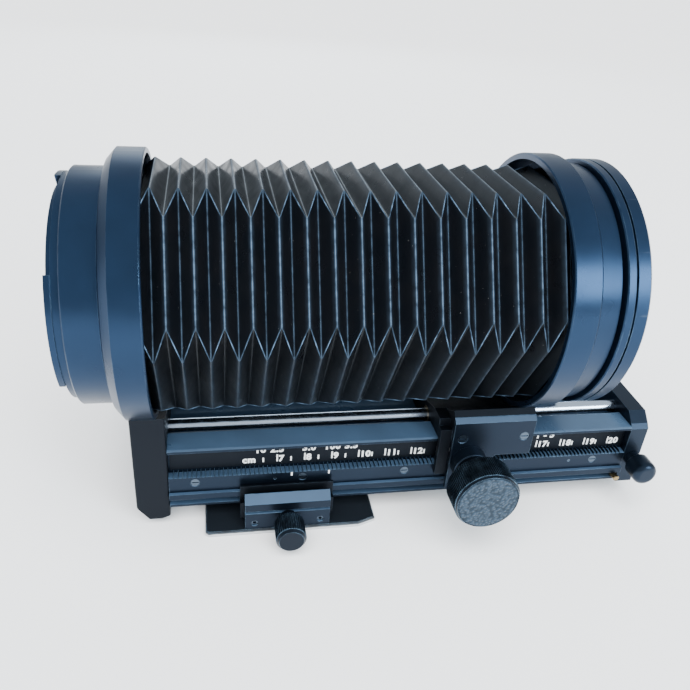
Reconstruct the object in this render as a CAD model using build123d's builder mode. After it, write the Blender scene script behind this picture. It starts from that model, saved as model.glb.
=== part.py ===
"""Macro bellows unit on a focusing rail, for a medium-format camera.

Frame: millimetres, +X along the rail from the camera end to the lens end, +Y away from the
focusing knob side, +Z up. The origin is the mouth of the tripod socket, on the underside of
the foot plate. Places along the rail are written as stations, the centimetre scale's own
reading in millimetres, and places across it as heights below the optical axis.
"""

import math
import os

from build123d import *

# ---- driving dimensions ---------------------------------------------------------------
AXIS_HEIGHT = 83.4  # optical axis above the underside of the foot plate
SOCKET_STATION = 73.3  # scale station of the tripod socket

# rings of the two standards: outer radii and stations
REAR_NECK_R, REAR_RIM_R = 38.7, 44.7
REAR_NECK, REAR_COVE, REAR_RIM, REAR_END = 6.6, 16.9, 20.0, 29.2
FRONT_RIM_R, FRONT_WAIST_R, LENS_RING_R = 46.1, 42.9, 44.6
FRONT_START, FRONT_STEP, FRONT_GROOVE = 157.2, 166.8, 174.9
LENS_RING, LENS_END = 176.0, 184.5
THROAT_R = 29.0
LENS_SEAT_R, LENS_SEAT_DEPTH = 36.0, 9.0

# bellows: a hexagon whose faces alternate between an outer and an inner distance
PLEAT = 8.19
PLEATS = 16
FIRST_RIDGE = 27.11  # station of the first side ridge
FOLD_OUT, FOLD_IN = 39.1, 33.1
BELLOWS_WALL = 1.2
BELLOWS_START, BELLOWS_END = 24.2, 165.3

# rail section, as half widths and depths below the optical axis
RAIL_START, RAIL_END = 31.8, 207.0
WING_TOP, LIP_BOTTOM = 50.7, 52.2
WING_Y, CHANNEL_Y, WEB_Y = 25.0, 14.8, 21.7
CHANNEL_FLOOR = 57.0
SHELF, FLANGE_BOTTOM, GROOVE_BOTTOM, RAIL_BOTTOM = 69.2, 71.6, 74.4, 75.4
FLANGE_Y, GROOVE_Y, BASE_Y = 26.5, 22.6, 25.6
ROD_R, ROD_Y, ROD_DEPTH = 2.5, 9.5, 51.2
ROD_START, ROD_END = 25.0, 211.0

# rack and pinion
MODULE = 0.5
RACK_PITCH = math.pi * MODULE
PINION_TEETH = 14
PINION_R = MODULE * PINION_TEETH / 2
RACK_TIP, RACK_BOTTOM = 61.75, 69.2
RACK_FRONT_Y = 25.2
TOOTH_HEIGHT = 1.0
PITCH_LINE = RACK_TIP + 0.45

# focusing carriage and its knobs
CAR_START, CAR_END = 132.5, 163.4
CAR_TOP, CAR_SLOPE, CAR_BOTTOM = 38.0, 3.6, 50.3  # its long top edges slope at 45 degrees
CHEEK_START, CHEEK_Y, CHEEK_TOP = 128.3, 24.5, 42.5
APRON_IN, APRON_OUT, APRON_BOTTOM = 25.6, 27.6, 65.7
COVER_IN, COVER_OUT, COVER_BOTTOM = 27.9, 29.6, 71.3
CUTOUT, CUTOUT_TOP = 149.0, 56.5
KNOB_STATION = 139.6
KNOB_DEPTH = PITCH_LINE - PINION_R
KNOB_R, KNOB_BACK, KNOB_FACE = 11.8, 41.5, 52.0
SHAFT_R = 2.0
LOCK_STATION = 148.0
LOCK_R = 7.0

# end plates
FOOT_START, FOOT_BOTTOM, PLATE_Y = 20.2, 81.0, 25.0
PLATE_END, PLATE_TOP, PLATE_BOTTOM = 214.5, 45.6, 77.5
END_KNOB_STATION, END_KNOB_DEPTH, END_KNOB_R = 211.0, 65.6, 4.8

# tripod carriage
BLOCK_START, BLOCK_END = 58.0, 88.6
BLOCK_Y, JAW_Y = 33.0, 29.95
GIB_OUT = 27.55  # the slot between gib and jaw lets the carriage covers pass
JAW_TOP, JAW_FRONT_TOP = 67.6, 70.2
FOOT_PLATE_T = 2.0
FOOT_PLATE_START, FOOT_PLATE_END, FOOT_PLATE_Y = 44.0, 106.2, 33.6
CLAMP_DEPTH, CLAMP_R = 76.3, 5.4
SOCKET_R, SOCKET_LENGTH = 2.55, 7.0

GAP = 0.3  # between bodies that don't fit each other
RUN = 0.03  # radial play of a running fit


def sx(station):
    """X of a scale station."""
    return station - SOCKET_STATION


def dz(depth):
    """Z of a depth below the optical axis."""
    return AXIS_HEIGHT - depth


def across(station):
    """Plane square to the rail at a station: local x is +Y, local y is +Z from the axis."""
    return Plane(origin=(sx(station), 0, AXIS_HEIGHT), x_dir=(0, 1, 0), z_dir=(1, 0, 0))


def facing(y, station, depth, toward=-1):
    """Plane square to Y, its normal toward the knob side (-1) or away from it (+1)."""
    return Plane(origin=(sx(station), y, dz(depth)), x_dir=(-toward, 0, 0), z_dir=(0, toward, 0))


def hexagon(even, odd):
    """Corners (y, z) of a hexagon whose faces lie alternately even and odd from the centre.

    Face 0 is the top; the odd faces are the upper two sides and the bottom.
    """
    corners = []
    for face in range(6):
        first, second = (even, odd) if face % 2 == 0 else (odd, even)
        turn = math.radians(90 + 60 * face)
        along = (second - first * 0.5) / math.sin(math.radians(60))
        corners.append(
            (
                first * math.cos(turn) - along * math.sin(turn),
                first * math.sin(turn) + along * math.cos(turn),
            )
        )
    return corners


def finish(built, name):
    built.part.label = name
    export_step(built.part, f"parts/{name}.step")


os.makedirs("parts", exist_ok=True)

# ======================================================================================
# Rail
# ======================================================================================

half_section = [
    (0, -CHANNEL_FLOOR),
    (CHANNEL_Y, -CHANNEL_FLOOR),
    (CHANNEL_Y, -WING_TOP),
    (WING_Y, -WING_TOP),
    (WING_Y, -LIP_BOTTOM),
    (WEB_Y, -LIP_BOTTOM),
    (WEB_Y, -SHELF),
    (FLANGE_Y, -SHELF),
    (FLANGE_Y, -FLANGE_BOTTOM),
    (GROOVE_Y, -FLANGE_BOTTOM),
    (GROOVE_Y, -GROOVE_BOTTOM),
    (BASE_Y, -GROOVE_BOTTOM),
    (BASE_Y, -RAIL_BOTTOM),
    (0, -RAIL_BOTTOM),
]
RACK_SCREWS = [40.9 + 38.2 * i for i in range(5)]
RACK_PINS = (69.1, 183.7)
RACK_SCREW_DEPTH = 65.1
STOP_PIN_STATION, STOP_PIN_DEPTH, STOP_PIN_R = 204.6, 73.0, 1.2

with BuildPart() as rail:
    with BuildSketch(across(RAIL_START)):
        with BuildLine():
            Polyline(*half_section, close=True)
        make_face()
        mirror(about=Plane.YZ)
    extrude(amount=RAIL_END - RAIL_START)
    lips = rail.edges().filter_by(Axis.X).filter_by(
        lambda e: abs(abs(e.center().Y) - WING_Y) < 0.01 and e.center().Z > dz(WING_TOP + 0.1)
    )
    chamfer(lips, 0.5)
    for station in RACK_SCREWS:
        with Locations(facing(-WEB_Y, station, RACK_SCREW_DEPTH)):
            Hole(0.8, depth=5)
    for station in RACK_PINS:
        with Locations(facing(-WEB_Y, station, RACK_SCREW_DEPTH)):
            Hole(0.6, depth=3)
    with Locations(facing(-GROOVE_Y, STOP_PIN_STATION, STOP_PIN_DEPTH)):
        Hole(STOP_PIN_R, depth=4)
    for end, turn in ((RAIL_START, -1), (RAIL_END, 1)):
        plane = Plane(origin=(sx(end), 0, dz(66)), x_dir=(0, 1, 0), z_dir=(turn, 0, 0))
        with Locations(plane):
            with GridLocations(30, 9, 2, 2):
                Hole(1.25, depth=9)
finish(rail, "rail_profile")

rods = []
for name, y in (("guide_rod_front", -ROD_Y), ("guide_rod_rear", ROD_Y)):
    with BuildPart() as rod:
        with BuildSketch(across(ROD_START)):
            with Locations((y, -ROD_DEPTH)):
                Circle(ROD_R)
        extrude(amount=ROD_END - ROD_START)
        chamfer(rod.edges().filter_by(GeomType.CIRCLE), 0.4)
    finish(rod, name)


def rack_outline():
    """Rack side view: teeth up, each with a flat crest and sloping flanks."""
    count = int((RAIL_END - RAIL_START - 1.0) / RACK_PITCH)
    first = KNOB_STATION - RACK_PITCH * int((KNOB_STATION - RAIL_START - 1.0) / RACK_PITCH)
    points = [(sx(RAIL_START), dz(RACK_BOTTOM)), (sx(RAIL_START), dz(RACK_TIP + TOOTH_HEIGHT))]
    for tooth in range(count):
        gap = sx(first + RACK_PITCH * tooth)
        points += [
            (gap - 0.62 * RACK_PITCH + 0.0, dz(RACK_TIP + TOOTH_HEIGHT)),
            (gap - 0.53 * RACK_PITCH, dz(RACK_TIP)),
            (gap - 0.47 * RACK_PITCH, dz(RACK_TIP)),
            (gap - 0.38 * RACK_PITCH, dz(RACK_TIP + TOOTH_HEIGHT)),
        ]
    points += [(sx(RAIL_END), dz(RACK_TIP + TOOTH_HEIGHT)), (sx(RAIL_END), dz(RACK_BOTTOM))]
    return points


with BuildPart() as rack:
    with BuildSketch(Plane(origin=(0, -WEB_Y, 0), x_dir=(1, 0, 0), z_dir=(0, -1, 0))):
        with BuildLine():
            Polyline(*rack_outline(), close=True)
        make_face()
    extrude(amount=RACK_FRONT_Y - WEB_Y)
    for station in RACK_SCREWS:
        with Locations(facing(-RACK_FRONT_Y, station, RACK_SCREW_DEPTH)):
            CounterSinkHole(0.85, 1.7, depth=5, counter_sink_angle=90)
    for station in RACK_PINS:
        with Locations(facing(-RACK_FRONT_Y, station, RACK_SCREW_DEPTH)):
            Hole(0.6, depth=5)
finish(rack, "rack")

with BuildPart() as rack_pins:
    for station in RACK_PINS:
        with BuildSketch(facing(-RACK_FRONT_Y + 0.1, station, RACK_SCREW_DEPTH)):
            Circle(0.59)
        extrude(amount=-5.5)
finish(rack_pins, "rack_pins")

with BuildPart() as rack_screws:
    for station in RACK_SCREWS:
        with BuildSketch(facing(-RACK_FRONT_Y + 0.15, station, RACK_SCREW_DEPTH)):
            Circle(1.5)
        extrude(amount=-0.75, taper=45)
        with BuildSketch(facing(-RACK_FRONT_Y + 0.85, station, RACK_SCREW_DEPTH)):
            Circle(0.75)
        extrude(amount=-6.5)
        with BuildSketch(facing(-RACK_FRONT_Y + 0.15, station, RACK_SCREW_DEPTH)):
            Rectangle(2.6, 0.4)
        extrude(amount=-0.35, mode=Mode.SUBTRACT)
finish(rack_screws, "rack_screws")

with BuildPart() as scale_strip:
    with BuildSketch(facing(-WEB_Y, (RAIL_START + RAIL_END) / 2, 56.9)):
        Rectangle(RAIL_END - RAIL_START - 1.0, 8.6)
    extrude(amount=0.4)
finish(scale_strip, "scale_strip")

with BuildPart() as stop_pin:
    with BuildSketch(facing(-GROOVE_Y + 3.5, STOP_PIN_STATION, STOP_PIN_DEPTH)):
        Circle(STOP_PIN_R - 0.02)
    extrude(amount=9.5)
    chamfer(stop_pin.faces().sort_by(Axis.Y)[0].edges(), 0.25)
finish(stop_pin, "stop_pin")

# ======================================================================================
# Rear standard, fixed to the rail
# ======================================================================================

END_SCREWS_Y, END_SCREWS_Z = 15.0, 4.5


def end_screw_places(station, turn):
    """The four screws that hold an end plate to the rail, seen from outside."""
    plane = Plane(origin=(sx(station), 0, dz(66)), x_dir=(0, 1, 0), z_dir=(turn, 0, 0))
    return [plane * Pos(y, z, 0) for y in (-15, 15) for z in (-4.5, 4.5)]


with BuildPart() as rear_foot:
    with BuildSketch(across(FOOT_START)):
        with BuildLine():
            Polyline(
                (-PLATE_Y, -30),
                (-PLATE_Y, -FOOT_BOTTOM),
                (PLATE_Y, -FOOT_BOTTOM),
                (PLATE_Y, -30),
                close=True,
            )
        make_face()
        Circle(REAR_RIM_R, mode=Mode.SUBTRACT)
    extrude(amount=RAIL_START - FOOT_START)
    bottom = rear_foot.faces().sort_by(Axis.Z)[0].edges().filter_by(Axis.Y)
    chamfer(bottom.sort_by(Axis.X)[0], 4.2, 5.6)
    chamfer(rear_foot.faces().sort_by(Axis.Z)[0].edges().filter_by(Axis.Y).sort_by(Axis.X)[-1], 3.0, 1.2)
    uprights = rear_foot.edges().filter_by(Axis.Z).filter_by(lambda e: e.length > 20)
    fillet(uprights, 0.7)
    for y in (-ROD_Y, ROD_Y):
        with Locations(Plane(origin=(sx(RAIL_START), y, dz(ROD_DEPTH)), z_dir=(1, 0, 0))):
            Hole(ROD_R, depth=RAIL_START - ROD_START)
    with Locations(*end_screw_places(FOOT_START, -1)):
        CounterBoreHole(1.6, 2.8, 2.2, depth=RAIL_START - FOOT_START)
finish(rear_foot, "rear_foot")

with BuildPart() as rear_ring:
    with BuildSketch(Plane(origin=(0, 0, AXIS_HEIGHT), x_dir=(1, 0, 0), z_dir=(0, -1, 0))):
        with BuildLine():
            Line((sx(REAR_NECK), THROAT_R), (sx(REAR_NECK), REAR_NECK_R - 0.4))
            Line((sx(REAR_NECK), REAR_NECK_R - 0.4), (sx(REAR_NECK + 0.4), REAR_NECK_R))
            Line((sx(REAR_NECK + 0.4), REAR_NECK_R), (sx(REAR_COVE), REAR_NECK_R))
            Line((sx(REAR_COVE), REAR_NECK_R), (sx(REAR_COVE + 0.7), REAR_NECK_R + 2.9))
            Line((sx(REAR_COVE + 0.7), REAR_NECK_R + 2.9), (sx(REAR_RIM + 0.3), REAR_RIM_R))
            Line((sx(REAR_RIM + 0.3), REAR_RIM_R), (sx(REAR_END - 0.4), REAR_RIM_R))
            Line((sx(REAR_END - 0.4), REAR_RIM_R), (sx(REAR_END), REAR_RIM_R - 0.4))
            Line((sx(REAR_END), REAR_RIM_R - 0.4), (sx(REAR_END), REAR_RIM_R - 1.8))
            Line((sx(REAR_END), REAR_RIM_R - 1.8), (sx(BELLOWS_START - 0.8), REAR_RIM_R - 1.8))
            Line((sx(BELLOWS_START - 0.8), REAR_RIM_R - 1.8), (sx(BELLOWS_START - 0.8), THROAT_R))
            Line((sx(BELLOWS_START - 0.8), THROAT_R), (sx(REAR_NECK), THROAT_R))
        make_face()
    revolve(axis=Axis((0, 0, AXIS_HEIGHT), (1, 0, 0)))
finish(rear_ring, "rear_ring")

BAYONET_START, BAYONET_R, LUG_R, LUG_T = 2.4, 33.4, 36.9, 1.8
FLANGE_R, FLANGE_T = 36.5, 2.4
BAYONET_SCREW_R = 31.2
with BuildPart() as camera_bayonet:
    with BuildSketch(across(REAR_NECK)):
        Circle(BAYONET_R)
        Circle(THROAT_R, mode=Mode.SUBTRACT)
    extrude(amount=-(REAR_NECK - BAYONET_START))
    with BuildSketch(across(REAR_NECK)):
        Circle(FLANGE_R)
        Circle(BAYONET_R - 0.5, mode=Mode.SUBTRACT)
    extrude(amount=-FLANGE_T)
    with BuildSketch(across(BAYONET_START)):
        Circle(LUG_R)
        Circle(BAYONET_R - 0.5, mode=Mode.SUBTRACT)
        with PolarLocations(0, 3, start_angle=0):
            with Locations((40, 0)):
                Rectangle(30, LUG_R, mode=Mode.SUBTRACT)
    extrude(amount=LUG_T)
    with Locations(Plane(origin=(sx(BAYONET_START), 0, AXIS_HEIGHT), x_dir=(0, 1, 0), z_dir=(-1, 0, 0))):
        with PolarLocations(BAYONET_SCREW_R, 6):
            CounterSinkHole(0.85, 1.6, depth=4, counter_sink_angle=90)
finish(camera_bayonet, "camera_bayonet")


def flush_screws(station, turn, ring_r, count, length, head_r=1.4, start_angle=0.0):
    """Countersunk screws on a circle about the optical axis, heads toward turn."""
    with BuildPart() as screws:
        for i in range(count):
            angle = math.radians(start_angle + 360 / count * i)
            y, z = ring_r * math.cos(angle), ring_r * math.sin(angle)
            for offset, radius, depth, taper in ((0.1, head_r, 0.6, 45), (0.65, 0.75, length, 0)):
                place = Plane(
                    origin=(sx(station) - turn * offset, y, AXIS_HEIGHT + z),
                    x_dir=(0, 1, 0),
                    z_dir=(turn, 0, 0),
                )
                with BuildSketch(place):
                    Circle(radius)
                extrude(amount=-depth, taper=taper)
    return screws


bayonet_screws = flush_screws(BAYONET_START, -1, BAYONET_SCREW_R, 6, 3.0)
finish(bayonet_screws, "bayonet_screws")

with BuildPart() as rear_frame:
    with BuildSketch(across(BELLOWS_START - 0.8)):
        Circle(41.0)
        with BuildLine():
            Polyline(*hexagon(FOLD_IN - 2.6, FOLD_IN - 2.6), close=True)
        make_face(mode=Mode.SUBTRACT)
    extrude(amount=0.8)
finish(rear_frame, "rear_bellows_frame")

# ======================================================================================
# Bellows
# ======================================================================================


def bellows_sections(inset):
    """(station, top-family distance, side-family distance) of each fold, inset by a wall."""
    end = FOLD_IN - inset
    sections = [(BELLOWS_START, end, end)]
    for pleat in range(PLEATS + 1):
        ridge = FIRST_RIDGE + PLEAT * pleat
        sections.append((ridge, FOLD_IN - inset, FOLD_OUT - inset))
        sections.append((ridge + PLEAT / 2, FOLD_OUT - inset, FOLD_IN - inset))
    sections.append((BELLOWS_END, end, end))
    return sections


with BuildPart() as bellows:
    for inset, mode in ((0, Mode.ADD), (BELLOWS_WALL, Mode.SUBTRACT)):
        for station, top, side in bellows_sections(inset):
            with BuildSketch(across(station)):
                with BuildLine():
                    Polyline(*hexagon(top, side), close=True)
                make_face()
        loft(ruled=True, mode=mode)
finish(bellows, "bellows")

# ======================================================================================
# Right end plate
# ======================================================================================

with BuildPart() as end_plate:
    with BuildSketch(across(RAIL_END)):
        with BuildLine():
            Polyline(
                (-PLATE_Y, -PLATE_BOTTOM),
                (-PLATE_Y, -51.6),
                (-23.6, -49.8),
                (-19.8, -46.2),
                (0, -PLATE_TOP),
                (19.8, -46.2),
                (23.6, -49.8),
                (PLATE_Y, -51.6),
                (PLATE_Y, -PLATE_BOTTOM),
                close=True,
            )
        make_face()
    extrude(amount=PLATE_END - RAIL_END)
    outer = end_plate.faces().sort_by(Axis.X)[-1]
    chamfer(outer.edges(), 0.5)
    for y in (-ROD_Y, ROD_Y):
        with Locations(Plane(origin=(sx(RAIL_END), y, dz(ROD_DEPTH)), z_dir=(-1, 0, 0))):
            Hole(ROD_R, depth=ROD_END - RAIL_END)
    with Locations(*end_screw_places(PLATE_END, 1)):
        CounterBoreHole(1.6, 2.8, 2.2, depth=PLATE_END - RAIL_END)
    with Locations(facing(-PLATE_Y, END_KNOB_STATION, END_KNOB_DEPTH)):
        Hole(1.75, depth=9)
finish(end_plate, "end_plate")


def cap_screws(station, turn, length):
    """Four cap screws, heads sunk in their counterbores."""
    with BuildPart() as screws:
        for place in end_screw_places(station, turn):
            head = Plane(place) if not isinstance(place, Plane) else place
            with BuildSketch(head.offset(-0.3)):
                Circle(2.7)
            extrude(amount=-1.9)
            with BuildSketch(head.offset(-2.1)):
                Circle(1.2)
            extrude(amount=-length)
            with BuildSketch(head.offset(-0.3)):
                RegularPolygon(1.2, 6)
            extrude(amount=-1.2, mode=Mode.SUBTRACT)
    return screws


finish(cap_screws(FOOT_START, -1, 16.0), "rear_foot_screws")
finish(cap_screws(PLATE_END, 1, 12.0), "end_plate_screws")

# ======================================================================================
# Front standard on its carriage
# ======================================================================================

BUSH_R = 3.6
COVER_SCREWS, COVER_SCREW_DEPTH = (136.2, 160.0), 48.4
slope_out = COVER_OUT - COVER_IN  # how far the covers carry the sloping edge on
saddle_section = [
    (0, -CAR_TOP),
    (COVER_OUT - CAR_SLOPE, -CAR_TOP),
    (COVER_IN, -(CAR_TOP + CAR_SLOPE - slope_out)),
    (COVER_IN, -CAR_BOTTOM),
    (CHANNEL_Y - 0.5, -CAR_BOTTOM),
    (CHANNEL_Y - 0.5, -CHANNEL_FLOOR + 0.5),
    (0, -CHANNEL_FLOOR + 0.5),
]
with BuildPart() as saddle:
    with BuildSketch(across(CAR_START)):
        with BuildLine():
            Polyline(*saddle_section, close=True)
        make_face()
        mirror(about=Plane.YZ)
    extrude(amount=CAR_END - CAR_START)
    with BuildSketch(across(CHEEK_START)):
        with Locations((0, -CHEEK_TOP)):
            Rectangle(2 * CHEEK_Y, CAR_BOTTOM - CHEEK_TOP, align=(Align.CENTER, Align.MAX))
        with Locations((0, -CAR_BOTTOM)):
            Rectangle(2 * (CHANNEL_Y - 0.5), CHANNEL_FLOOR - 0.5 - CAR_BOTTOM, align=(Align.CENTER, Align.MAX))
        # on the knob side the cheek turns down outside the rail, in front of the scale and rack
        with BuildLine():
            Polyline(
                (-CHEEK_Y + 1, -(CHEEK_TOP + 3)),
                (-APRON_OUT, -(CHEEK_TOP + 3)),
                (-APRON_OUT, -APRON_BOTTOM),
                (-APRON_IN, -APRON_BOTTOM),
                (-APRON_IN, -CAR_BOTTOM),
                (-CHEEK_Y + 1, -CAR_BOTTOM),
                close=True,
            )
        make_face()
    extrude(amount=CAR_START - CHEEK_START)
    with BuildSketch(across(CHEEK_START - 1)):
        Circle(FRONT_RIM_R)
    extrude(amount=CAR_END - CHEEK_START + 2, mode=Mode.SUBTRACT)
    for y in (-ROD_Y, ROD_Y):
        with Locations(Plane(origin=(sx(CHEEK_START), y, dz(ROD_DEPTH)), z_dir=(-1, 0, 0))):
            Hole(BUSH_R, depth=CAR_END - CHEEK_START)
    for y, turn in ((-COVER_IN, -1), (COVER_IN, 1)):
        for station in COVER_SCREWS:
            with Locations(facing(y, station, COVER_SCREW_DEPTH, turn)):
                Hole(0.8, depth=5)
    for y in (-2.9, 2.9):
        with Locations(Plane(origin=(sx(160.3), y, dz(56.5)), z_dir=(0, 0, -1))):
            CounterBoreHole(1.1, 2.0, 1.6, depth=12)
finish(saddle, "carriage_saddle")

with BuildPart() as bushings:
    for y in (-ROD_Y, ROD_Y):
        for start in (CHEEK_START, CAR_END - 8.0):
            with BuildSketch(across(start)):
                with Locations((y, -ROD_DEPTH)):
                    Circle(BUSH_R)
                    Circle(ROD_R + RUN, mode=Mode.SUBTRACT)
            extrude(amount=8.0)
finish(bushings, "rod_bushings")

COVER_TOP = CAR_TOP + CAR_SLOPE - slope_out
with BuildPart() as front_cover:
    with BuildSketch(facing(-COVER_IN, CAR_START, COVER_TOP)):
        with BuildLine():
            Polyline(
                (0, 0),
                (CAR_END - CAR_START, 0),
                (CAR_END - CAR_START, COVER_TOP - CUTOUT_TOP),
                (CUTOUT - CAR_START, COVER_TOP - CUTOUT_TOP),
                (CUTOUT - CAR_START, COVER_TOP - COVER_BOTTOM),
                (0, COVER_TOP - COVER_BOTTOM),
                close=True,
            )
        make_face()
    extrude(amount=COVER_OUT - COVER_IN)
    inner_corner = front_cover.edges().filter_by(Axis.Y).filter_by(
        lambda e: abs(e.center().X - sx(CUTOUT)) < 0.1 and abs(e.center().Z - dz(CUTOUT_TOP)) < 0.1
    )
    fillet(inner_corner, 1.6)
    top_front = front_cover.edges().filter_by(Axis.X).sort_by(Axis.Z)[-2:].sort_by(Axis.Y)[0]
    chamfer(top_front, slope_out - 0.02)
    for station in COVER_SCREWS:
        with Locations(facing(-COVER_OUT, station, COVER_SCREW_DEPTH)):
            CounterSinkHole(0.9, 1.9, depth=5, counter_sink_angle=90)
    with Locations(facing(-COVER_OUT, KNOB_STATION, KNOB_DEPTH)):
        Hole(4.4, depth=5)
finish(front_cover, "front_cover")

with BuildPart() as far_cover:
    with BuildSketch(facing(COVER_IN, CAR_END, COVER_TOP, 1)):
        Rectangle(CAR_END - CAR_START, COVER_BOTTOM - COVER_TOP, align=(Align.MIN, Align.MAX))
    extrude(amount=COVER_OUT - COVER_IN)
    top_back = far_cover.edges().filter_by(Axis.X).sort_by(Axis.Z)[-2:].sort_by(Axis.Y)[-1]
    chamfer(top_back, slope_out - 0.02)
    for station in COVER_SCREWS:
        with Locations(facing(COVER_OUT, station, COVER_SCREW_DEPTH, 1)):
            CounterSinkHole(0.9, 1.9, depth=5, counter_sink_angle=90)
    with Locations(facing(COVER_OUT, LOCK_STATION, KNOB_DEPTH, 1)):
        Hole(SHAFT_R + RUN, depth=5)
finish(far_cover, "far_cover")

with BuildPart() as cover_screws:
    for turn in (-1, 1):
        for station in COVER_SCREWS:
            for offset, radius, depth, taper in ((0.12, 1.65, 0.8, 45), (0.88, 0.75, 5.6, 0)):
                with BuildSketch(facing(turn * (COVER_OUT - offset), station, COVER_SCREW_DEPTH, turn)):
                    Circle(radius)
                extrude(amount=-depth, taper=taper)
            with BuildSketch(facing(turn * (COVER_OUT - 0.12), station, COVER_SCREW_DEPTH, turn)):
                Rectangle(2.6, 0.45)
            extrude(amount=-0.35, mode=Mode.SUBTRACT)
finish(cover_screws, "cover_screws")

BOSS_R, BOSS_FACE = 6.8, 35.0
with BuildPart() as shaft_bearing:
    with BuildSketch(facing(-COVER_OUT, KNOB_STATION, KNOB_DEPTH)):
        Circle(BOSS_R)
    extrude(amount=BOSS_FACE - COVER_OUT)
    chamfer(shaft_bearing.faces().sort_by(Axis.Y)[0].edges(), 0.6)
    with BuildSketch(facing(-COVER_IN, KNOB_STATION, KNOB_DEPTH)):
        Circle(4.4)
    extrude(amount=COVER_OUT - COVER_IN)
    with Locations(facing(-BOSS_FACE, KNOB_STATION, KNOB_DEPTH)):
        Hole(SHAFT_R + RUN, depth=20)
finish(shaft_bearing, "shaft_bearing")

BORE_STEP = 165.3
with BuildPart() as front_barrel:
    with BuildSketch(Plane(origin=(0, 0, AXIS_HEIGHT), x_dir=(1, 0, 0), z_dir=(0, -1, 0))):
        with BuildLine():
            Polyline(
                (sx(FRONT_START), FRONT_RIM_R - 2.2),
                (sx(FRONT_START), FRONT_RIM_R - 0.4),
                (sx(FRONT_START + 0.4), FRONT_RIM_R),
                (sx(FRONT_STEP - 0.6), FRONT_RIM_R),
                (sx(FRONT_STEP), FRONT_RIM_R - 0.6),
                (sx(FRONT_STEP), FRONT_WAIST_R + 0.9),
                (sx(FRONT_GROOVE), FRONT_WAIST_R),
                (sx(FRONT_GROOVE), 37.0),
                (sx(BORE_STEP + 3.2), 37.0),
                (sx(BORE_STEP + 3.2), 32.0),
                (sx(BORE_STEP + 0.8), 32.0),
                (sx(BORE_STEP + 0.8), FRONT_RIM_R - 2.2),
                close=True,
            )
        make_face()
    revolve(axis=Axis((0, 0, AXIS_HEIGHT), (1, 0, 0)))
finish(front_barrel, "front_barrel")

with BuildPart() as lens_ring:
    with BuildSketch(Plane(origin=(0, 0, AXIS_HEIGHT), x_dir=(1, 0, 0), z_dir=(0, -1, 0))):
        with BuildLine():
            Polyline(
                (sx(FRONT_GROOVE), LENS_SEAT_R),
                (sx(FRONT_GROOVE), 40.4),
                (sx(LENS_RING), 40.4),
                (sx(LENS_RING), LENS_RING_R - 0.4),
                (sx(LENS_RING + 0.4), LENS_RING_R),
                (sx(178.7), LENS_RING_R),
                (sx(178.7), LENS_RING_R - 1.0),
                (sx(179.5), LENS_RING_R - 1.0),
                (sx(179.5), LENS_RING_R),
                (sx(LENS_END - 0.8), LENS_RING_R),
                (sx(LENS_END), LENS_RING_R - 0.8),
                (sx(LENS_END), LENS_SEAT_R + 0.6),
                (sx(LENS_END - 0.6), LENS_SEAT_R),
                close=True,
            )
        make_face()
    revolve(axis=Axis((0, 0, AXIS_HEIGHT), (1, 0, 0)))
finish(lens_ring, "lens_ring")

LENS_MOUNT_START, LENS_MOUNT_T = 171.6, 3.0
with BuildPart() as lens_mount:
    with BuildSketch(across(BORE_STEP + 3.2)):
        Circle(36.9)
        Circle(33.2, mode=Mode.SUBTRACT)
    extrude(amount=LENS_MOUNT_START - BORE_STEP - 3.2)
    with BuildSketch(across(LENS_MOUNT_START)):
        Circle(36.9)
        Circle(31.5, mode=Mode.SUBTRACT)
    extrude(amount=LENS_MOUNT_T)
    with BuildSketch(across(LENS_MOUNT_START + LENS_MOUNT_T - 1.2)):
        Circle(31.8)
        Circle(THROAT_R, mode=Mode.SUBTRACT)
        with PolarLocations(0, 3, start_angle=90):
            with Locations((40, 0)):
                Rectangle(30, 36, mode=Mode.SUBTRACT)
    extrude(amount=1.2)
    with Locations(across(LENS_MOUNT_START + LENS_MOUNT_T)):
        with PolarLocations(34.2, 6, start_angle=30):
            CounterSinkHole(0.85, 1.5, depth=2.4, counter_sink_angle=90)
finish(lens_mount, "lens_mount")

lens_mount_screws = flush_screws(LENS_MOUNT_START + LENS_MOUNT_T, 1, 34.2, 6, 1.6, 1.3, 30)
finish(lens_mount_screws, "lens_mount_screws")

with BuildPart() as front_frame:
    with BuildSketch(across(BORE_STEP)):
        Circle(41.0)
        with BuildLine():
            Polyline(*hexagon(FOLD_IN - 2.6, FOLD_IN - 2.6), close=True)
        make_face(mode=Mode.SUBTRACT)
    extrude(amount=0.8)
finish(front_frame, "front_bellows_frame")

with BuildPart() as barrel_screws:
    for y in (-2.9, 2.9):
        with BuildSketch(Plane(origin=(sx(160.3), y, dz(56.4)), z_dir=(0, 0, -1))):
            Circle(1.9)
        extrude(amount=-1.4)
        with BuildSketch(Plane(origin=(sx(160.3), y, dz(55.0)), z_dir=(0, 0, -1))):
            Circle(0.95)
        extrude(amount=-8.0)
finish(barrel_screws, "barrel_screws")

with BuildPart() as brake_shoe:
    with BuildSketch(facing(WEB_Y + 0.05, LOCK_STATION, KNOB_DEPTH, 1)):
        RectangleRounded(9.0, 5.0, 1.0)
    extrude(amount=1.6)
finish(brake_shoe, "brake_shoe")

# ======================================================================================
# Focusing drive
# ======================================================================================


def gear_outline():
    """Pinion outline: slim straight-flanked teeth, the first one pointing down."""
    points = []
    for tooth in range(PINION_TEETH):
        middle = -90 + 360 / PINION_TEETH * tooth
        for radius, half_angle in (
            (PINION_R - 0.62, -5.6),
            (PINION_R + 0.38, -1.9),
            (PINION_R + 0.38, 1.9),
            (PINION_R - 0.62, 5.6),
        ):
            angle = math.radians(middle + half_angle)
            points.append((radius * math.cos(angle), radius * math.sin(angle)))
    return points


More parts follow.
